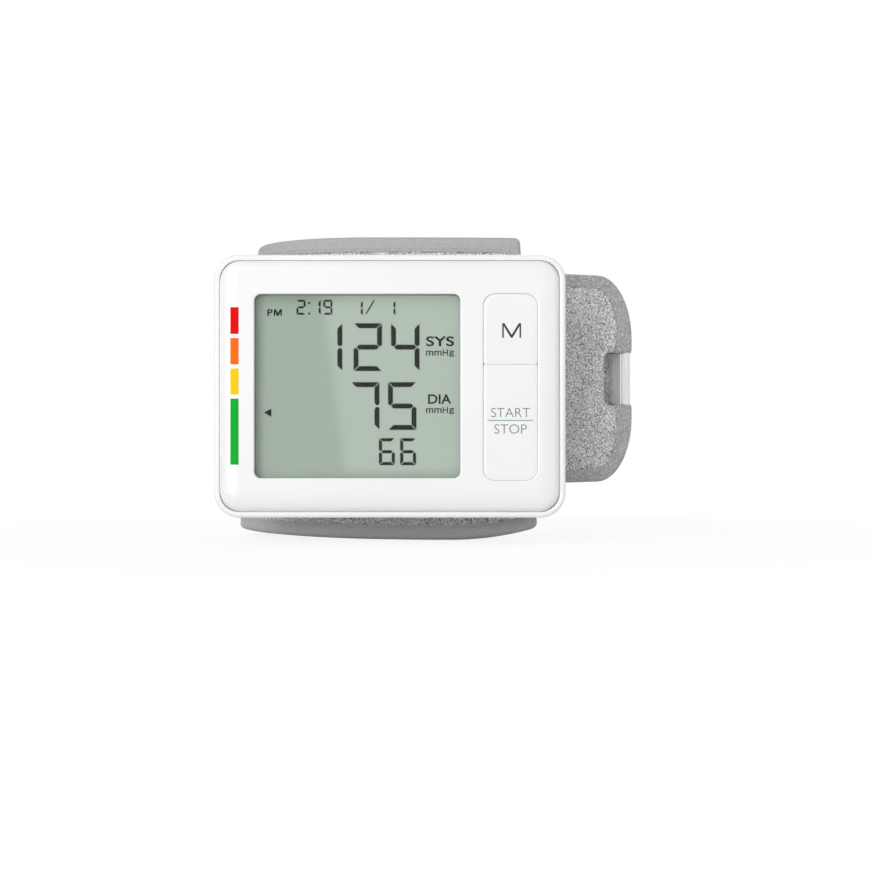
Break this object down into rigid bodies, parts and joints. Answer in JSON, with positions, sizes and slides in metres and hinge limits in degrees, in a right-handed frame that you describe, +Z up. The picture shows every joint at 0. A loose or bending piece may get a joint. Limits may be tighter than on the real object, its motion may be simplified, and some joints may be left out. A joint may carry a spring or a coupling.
{
  "type": "wrist blood pressure monitor",
  "caption": "Wrist blood pressure monitor: white case with display and keys on a padded grey cuff that closes with a strap behind a folded tab.",
  "frame": {"origin": "on the standing surface, under the middle of the part's box", "axes": "+Z up along the wrist, display faces -Y, the closing tab reaches towards +X"},
  "size_m": [0.1076, 0.0888, 0.079],
  "materials": {
    "white_abs": "glossy moulded white",
    "key_abs": "satin moulded white",
    "clear_acrylic": "clear polished",
    "lcd_cell": "grey-green reflective display",
    "dark_plastic": "moulded dark",
    "board_laminate": "solder mask",
    "steel": "plain",
    "plated_can": "thin plated can",
    "cell_jacket": "foil jacket",
    "silicone": "soft tube",
    "heather_loop": "heather grey loop fabric",
    "lining_knit": "brushed knit",
    "hook_tape": "hook tape",
    "bladder_film": "matt film",
    "stay_sheet": "bent sheet"
  },
  "bodies": {
    "monitor": {"front_panel": "white_abs", "rear_case": "white_abs", "tab_bar": "white_abs", "display_lens": "clear_acrylic", "lcd_glass": "lcd_cell", "lcd_frame": "dark_plastic", "lcd_connector": "silicone", "circuit_board": "board_laminate", "memory_switch": "dark_plastic", "start_stop_switch": "dark_plastic", "case_screw_1": "steel", "case_screw_2": "steel", "case_screw_3": "steel", "case_screw_4": "steel", "battery_cell_1": "cell_jacket", "battery_cell_2": "cell_jacket", "upper_battery_contact": "steel", "lower_battery_contact": "steel", "pump_motor": "plated_can", "pump_head": "dark_plastic", "pump_hose": "silicone", "air_manifold": "dark_plastic", "valve_hose": "silicone", "air_valve": "plated_can", "pressure_sensor": "dark_plastic", "buzzer": "dark_plastic", "radio_module": "plated_can", "cuff_bracket": "dark_plastic", "cuff_fabric": "heather_loop", "cuff_stay": "stay_sheet", "air_bladder": "bladder_film", "cuff_lining": "lining_knit", "end_tab": "heather_loop"},
    "memory_key_body": {"memory_key": "key_abs"},
    "start_stop_key_body": {"start_stop_key": "key_abs"},
    "battery_door_body": {"battery_door": "white_abs"},
    "strap_body": {"closing_strap": "heather_loop", "hook_patch": "hook_tape"},
    "crank_body": {"pump_crank": "steel"},
    "plunger_body": {"valve_plunger": "steel"}
  },
  "joints": [
    {"name": "memory_key_press", "type": "slide", "parent": "monitor", "child": "memory_key_body", "axis": [0, 1, 0], "range_m": [0, 0.0008], "stiffness_N_per_m": 400},
    {"name": "start_stop_key_press", "type": "slide", "parent": "monitor", "child": "start_stop_key_body", "axis": [0, 1, 0], "range_m": [0, 0.0008], "stiffness_N_per_m": 400},
    {"name": "battery_door_slide", "type": "slide", "parent": "monitor", "child": "battery_door_body", "axis": [-1, 0, 0], "range_m": [0, 0.03]},
    {"name": "strap_open", "type": "hinge", "parent": "monitor", "child": "strap_body", "pos_m": [0.02213, 0.0203, 0.0423], "axis": [0, 0, 1], "range_deg": [0, 80]},
    {"name": "pump_crank_spin", "type": "hinge", "parent": "monitor", "child": "crank_body", "pos_m": [0.00215, -0.0295, 0.0535], "axis": [1, 0, 0], "continuous": true},
    {"name": "valve_plunger_slide", "type": "slide", "parent": "monitor", "child": "plunger_body", "axis": [-1, 0, 0], "range_m": [0, 0.001], "stiffness_N_per_m": 200}
  ]
}
